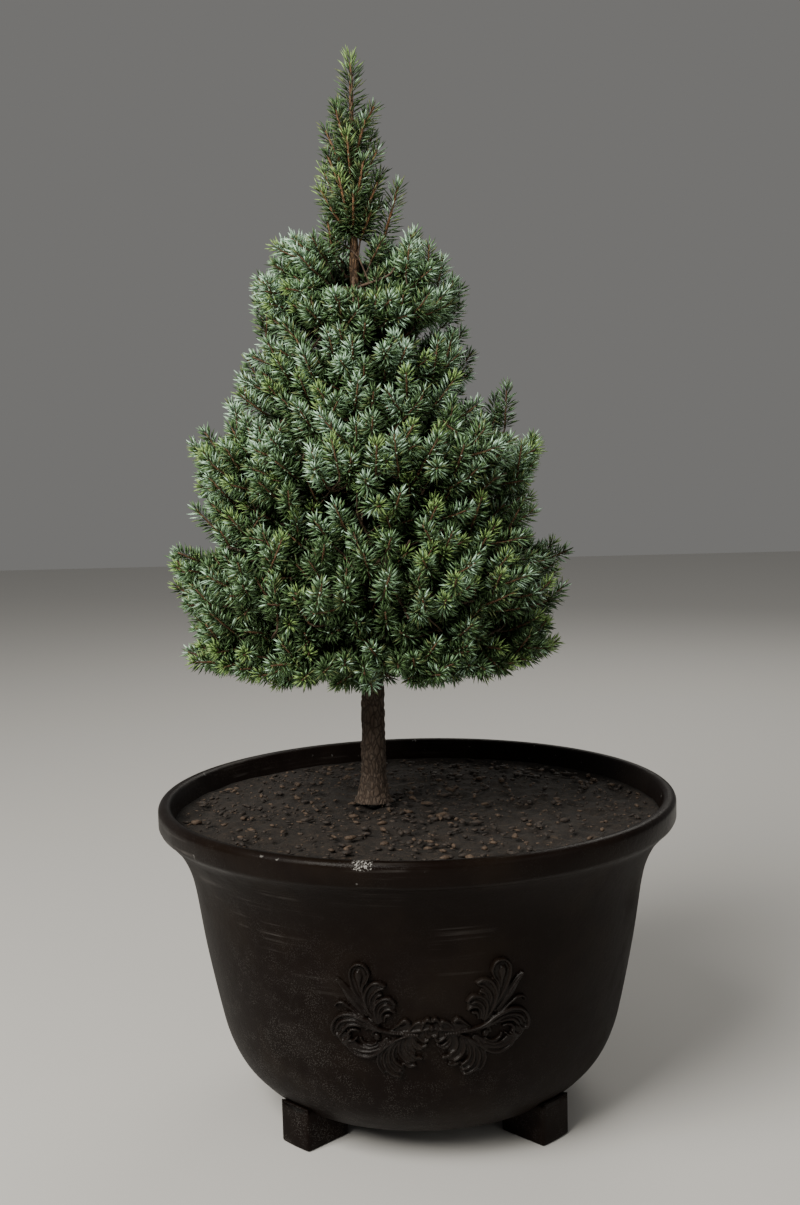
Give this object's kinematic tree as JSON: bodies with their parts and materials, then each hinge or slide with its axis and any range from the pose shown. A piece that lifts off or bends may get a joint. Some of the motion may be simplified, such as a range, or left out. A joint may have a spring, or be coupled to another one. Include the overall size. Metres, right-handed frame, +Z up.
{
  "type": "potted dwarf blue spruce",
  "caption": "Dense conical dwarf blue spruce with a narrow leader, standing in a round charcoal bowl planter on block feet.",
  "frame": {"origin": "on the ground under the middle of the planter", "axes": "+Z up, -Y towards the front with the leaf ornament, +X to the right seen from the front"},
  "size_m": [0.486, 0.486, 0.983],
  "materials": {
    "planter": "charcoal resin, satin, dusty and finely speckled",
    "soil": "moist dark potting mix",
    "bark": "thin flaking orange-brown bark",
    "needles": "blue-green needles with pale bloom"
  },
  "bodies": {
    "root": {"planter_bowl": "planter", "potting_soil": "soil", "foot_1": "planter", "foot_2": "planter", "foot_3": "planter", "foot_4": "planter", "trunk": "bark", "bough_skirt_1": "bark", "bough_skirt_2": "bark", "bough_skirt_3": "bark", "bough_skirt_4": "bark", "bough_skirt_5": "bark", "bough_skirt_6": "bark", "bough_skirt_7": "bark", "bough_lower_1": "bark", "bough_lower_2": "bark", "bough_lower_3": "bark", "bough_lower_4": "bark", "bough_lower_5": "bark", "bough_lower_6": "bark", "bough_middle_1": "bark", "bough_middle_2": "bark", "bough_middle_3": "bark", "bough_middle_4": "bark", "bough_middle_5": "bark", "bough_upper_1": "bark", "bough_upper_2": "bark", "bough_upper_3": "bark", "bough_upper_4": "bark", "bough_shoulder_1": "bark", "bough_shoulder_2": "bark", "bough_shoulder_3": "bark", "foliage_skirt_1": "needles", "foliage_skirt_2": "needles", "foliage_skirt_3": "needles", "foliage_skirt_4": "needles", "foliage_skirt_5": "needles", "foliage_skirt_6": "needles", "foliage_skirt_7": "needles", "foliage_lower_1": "needles", "foliage_lower_2": "needles", "foliage_lower_3": "needles", "foliage_lower_4": "needles", "foliage_lower_5": "needles", "foliage_lower_6": "needles", "foliage_middle_1": "needles", "foliage_middle_2": "needles", "foliage_middle_3": "needles", "foliage_middle_4": "needles", "foliage_middle_5": "needles", "foliage_upper_1": "needles", "foliage_upper_2": "needles", "foliage_upper_3": "needles", "foliage_upper_4": "needles", "foliage_shoulder_1": "needles", "foliage_shoulder_2": "needles", "foliage_shoulder_3": "needles", "foliage_leader": "needles"}
  },
  "joints": []
}
